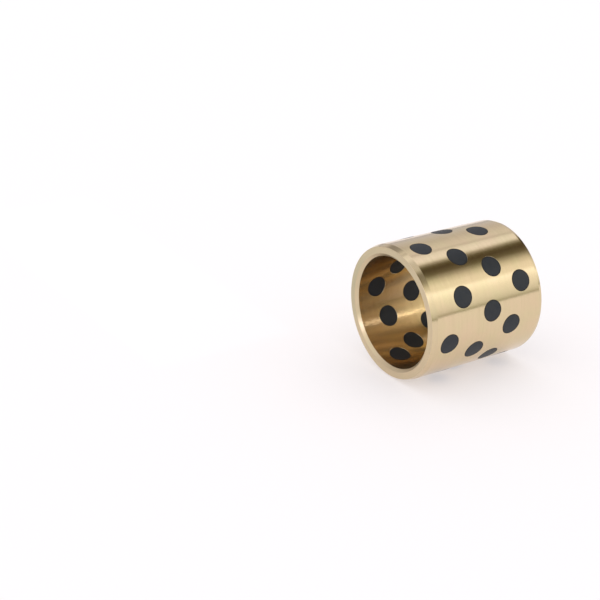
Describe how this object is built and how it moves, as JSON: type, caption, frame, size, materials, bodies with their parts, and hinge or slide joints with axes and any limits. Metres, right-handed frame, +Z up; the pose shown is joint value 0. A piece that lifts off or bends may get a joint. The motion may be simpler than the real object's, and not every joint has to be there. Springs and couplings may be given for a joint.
{
  "type": "plugged sleeve bushing",
  "caption": "Plain bronze sleeve bushing with solid graphite lubricant plugs set flush through its wall, tapered for pressing into a housing.",
  "frame": {"origin": "middle of the bore: on its axis, halfway between the two end faces", "axes": "+Y along the bore, from the end with the longer lead-in taper to the other end; +Z up with the bushing lying on its side; +X completes the right-handed frame"},
  "size_m": [0.06, 0.06, 0.06],
  "materials": {
    "bronze": "satin",
    "graphite": "matte"
  },
  "bodies": {
    "root": {"bronze_sleeve": "bronze", "graphite_plug_ring1_line1": "graphite", "graphite_plug_ring1_line3": "graphite", "graphite_plug_ring1_line5": "graphite", "graphite_plug_ring1_line7": "graphite", "graphite_plug_ring2_line2": "graphite", "graphite_plug_ring2_line4": "graphite", "graphite_plug_ring2_line6": "graphite", "graphite_plug_ring2_line8": "graphite", "graphite_plug_ring3_line1": "graphite", "graphite_plug_ring3_line3": "graphite", "graphite_plug_ring3_line5": "graphite", "graphite_plug_ring3_line7": "graphite", "graphite_plug_ring4_line2": "graphite", "graphite_plug_ring4_line4": "graphite", "graphite_plug_ring4_line6": "graphite", "graphite_plug_ring4_line8": "graphite", "graphite_plug_ring5_line1": "graphite", "graphite_plug_ring5_line3": "graphite", "graphite_plug_ring5_line5": "graphite", "graphite_plug_ring5_line7": "graphite", "graphite_plug_ring6_line2": "graphite", "graphite_plug_ring6_line4": "graphite", "graphite_plug_ring6_line6": "graphite", "graphite_plug_ring6_line8": "graphite", "graphite_plug_ring7_line1": "graphite", "graphite_plug_ring7_line3": "graphite", "graphite_plug_ring7_line5": "graphite", "graphite_plug_ring7_line7": "graphite"}
  },
  "joints": []
}
